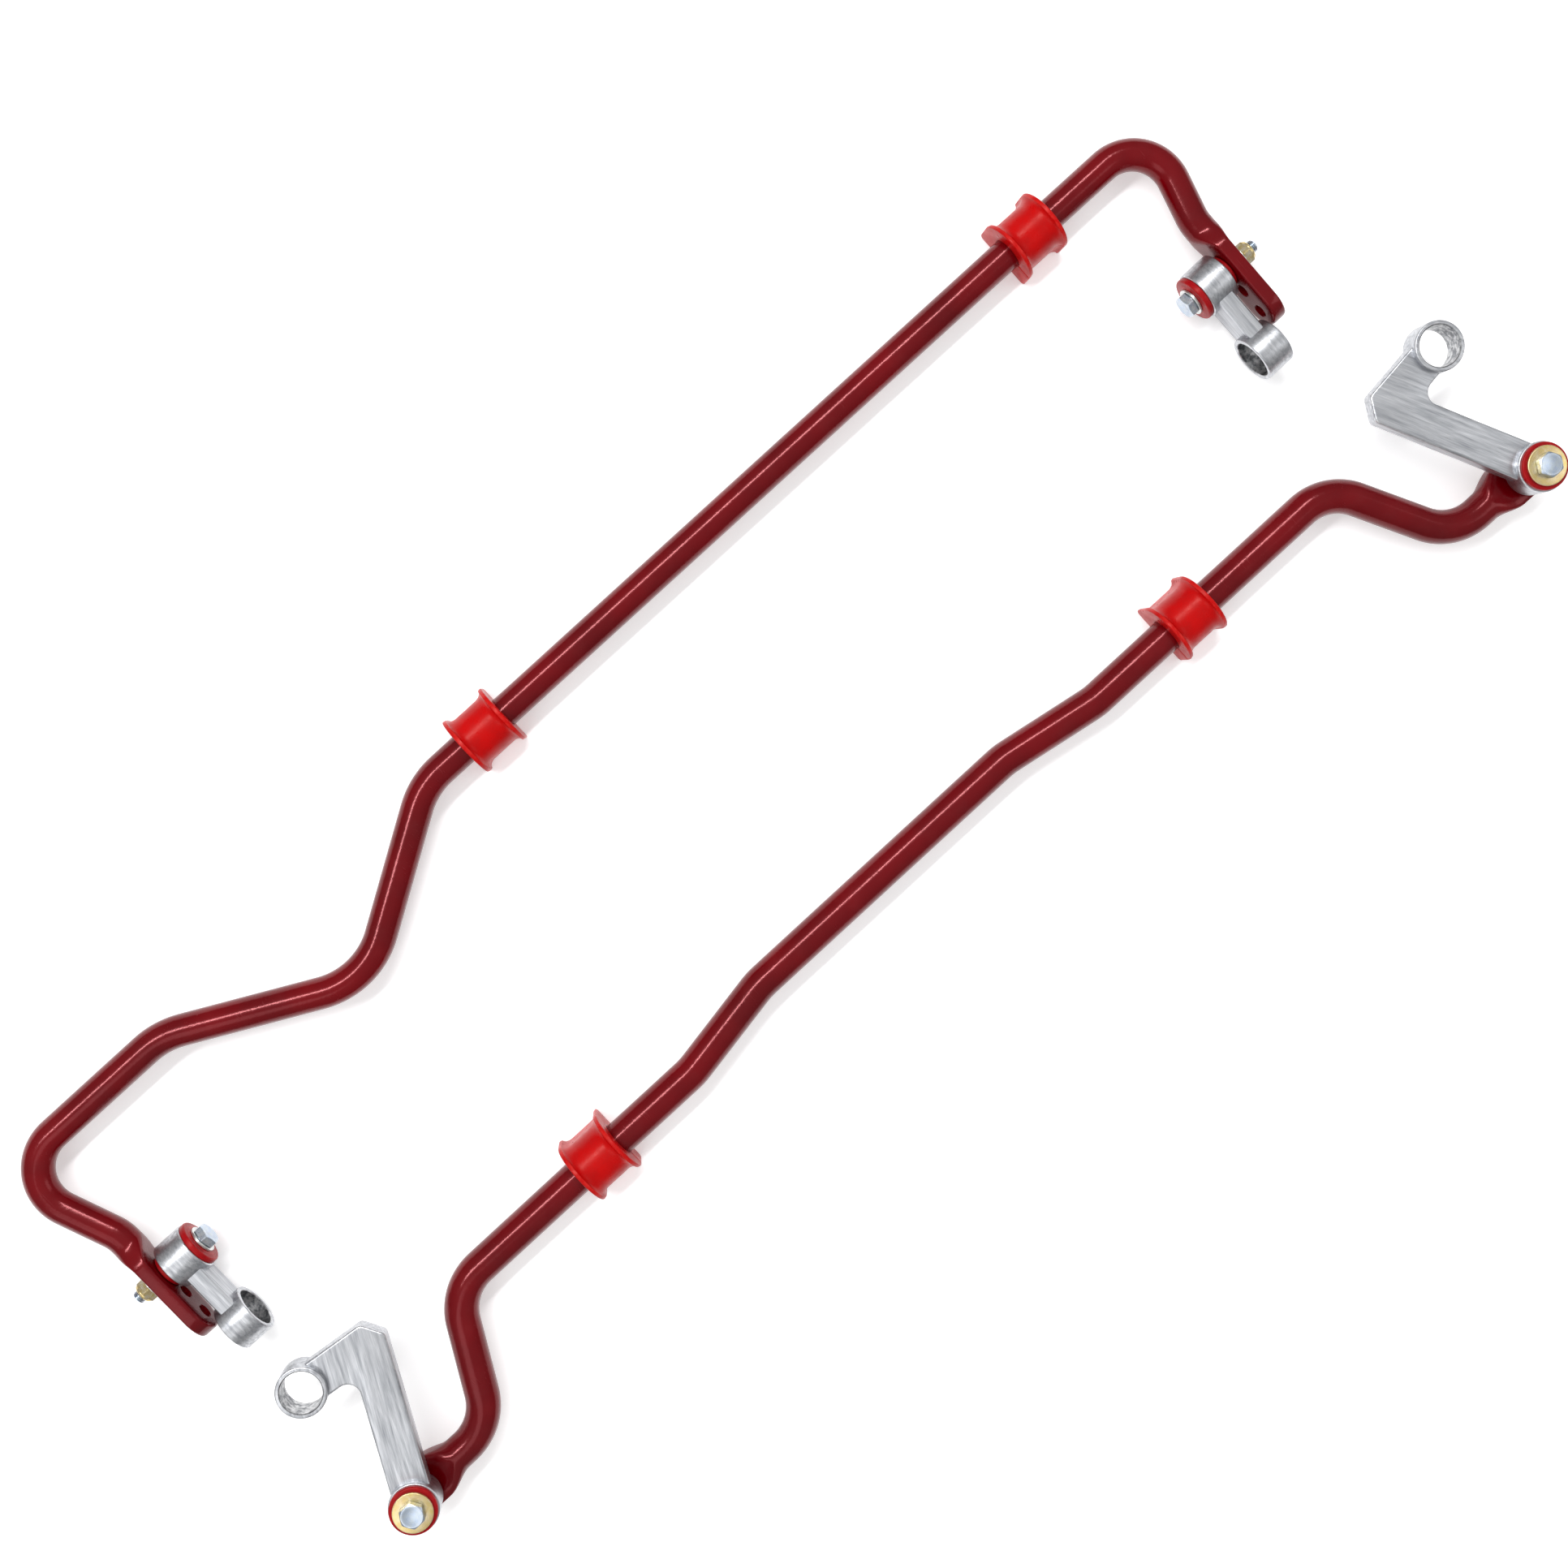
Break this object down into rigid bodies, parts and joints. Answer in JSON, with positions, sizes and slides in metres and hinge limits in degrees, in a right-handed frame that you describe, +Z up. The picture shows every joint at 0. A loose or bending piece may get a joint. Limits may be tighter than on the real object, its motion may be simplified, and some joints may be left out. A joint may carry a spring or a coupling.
{
  "type": "sway bar set",
  "caption": "Front and adjustable rear anti-roll bars in urethane saddle bushes, with bolted aluminium drop links that swing on sleeved bushes.",
  "frame": {"origin": "under the middle of the whole set, on the plane of the saddle bushes' flat bases", "axes": "+X across the car along both bars, +Y from the front bar to the rear bar, +Z up from the bushes' bases"},
  "size_m": [1.2013, 0.4256, 0.0739],
  "materials": {
    "red_powder_coat": "glossy deep red coating",
    "saddle_urethane": "satin moulded red urethane",
    "link_urethane": "satin moulded dark red urethane",
    "brushed_aluminium": "brushed",
    "blue_zinc": "bright bluish zinc",
    "bright_zinc": "bright zinc",
    "yellow_zinc": "yellow zinc",
    "nylon": "dark nylon"
  },
  "bodies": {
    "saddle_bushes": {"front_saddle_bush_left": "saddle_urethane", "front_saddle_bush_right": "saddle_urethane", "rear_saddle_bush_left": "saddle_urethane", "rear_saddle_bush_right": "saddle_urethane"},
    "front_bar": {"front_bar": "red_powder_coat", "front_sleeve_left": "bright_zinc", "front_sleeve_right": "bright_zinc", "front_bolt_left": "blue_zinc", "front_bolt_right": "blue_zinc", "front_nut_left": "yellow_zinc", "front_nut_right": "yellow_zinc", "front_nut_ring_left": "nylon", "front_nut_ring_right": "nylon", "front_large_washer_left": "yellow_zinc", "front_large_washer_right": "yellow_zinc", "front_washer_left": "bright_zinc", "front_washer_right": "bright_zinc"},
    "rear_bar": {"rear_bar": "red_powder_coat", "rear_sleeve_left": "bright_zinc", "rear_sleeve_right": "bright_zinc", "rear_bolt_left": "blue_zinc", "rear_bolt_right": "blue_zinc", "rear_nut_left": "yellow_zinc", "rear_nut_right": "yellow_zinc", "rear_nut_ring_left": "nylon", "rear_nut_ring_right": "nylon", "rear_washers_left": "bright_zinc", "rear_washers_right": "bright_zinc"},
    "front_link_left": {"front_link_left": "brushed_aluminium", "front_link_bush_left": "link_urethane"},
    "rear_link_left": {"rear_link_left": "brushed_aluminium", "rear_link_bush_left": "link_urethane"},
    "front_link_right": {"front_link_right": "brushed_aluminium", "front_link_bush_right": "link_urethane"},
    "rear_link_right": {"rear_link_right": "brushed_aluminium", "rear_link_bush_right": "link_urethane"}
  },
  "joints": [
    {"name": "front_bar_roll", "type": "hinge", "parent": "saddle_bushes", "child": "front_bar", "pos_m": [0.01871, -0.10175, 0.024], "axis": [-1, 0, 0], "range_deg": [0, 40]},
    {"name": "rear_bar_roll", "type": "hinge", "parent": "saddle_bushes", "child": "rear_bar", "pos_m": [0.01871, 0.18825, 0.024], "axis": [-1, 0, 0], "range_deg": [0, 40]},
    {"name": "front_link_left_swing", "type": "hinge", "parent": "front_bar", "child": "front_link_left", "pos_m": [-0.54429, -0.19375, 0.048], "axis": [0, 0, 1], "range_deg": [-20, 20]},
    {"name": "rear_link_left_swing", "type": "hinge", "parent": "rear_bar", "child": "rear_link_left", "pos_m": [-0.54829, 0.05225, 0.024], "axis": [-1, 0, 0], "range_deg": [-4, 110]},
    {"name": "front_link_right_swing", "type": "hinge", "parent": "front_bar", "child": "front_link_right", "pos_m": [0.58171, -0.19375, 0.048], "axis": [0, 0, 1], "range_deg": [-20, 20]},
    {"name": "rear_link_right_swing", "type": "hinge", "parent": "rear_bar", "child": "rear_link_right", "pos_m": [0.49371, 0.07025, 0.024], "axis": [-1, 0, 0], "range_deg": [-4, 110]}
  ]
}
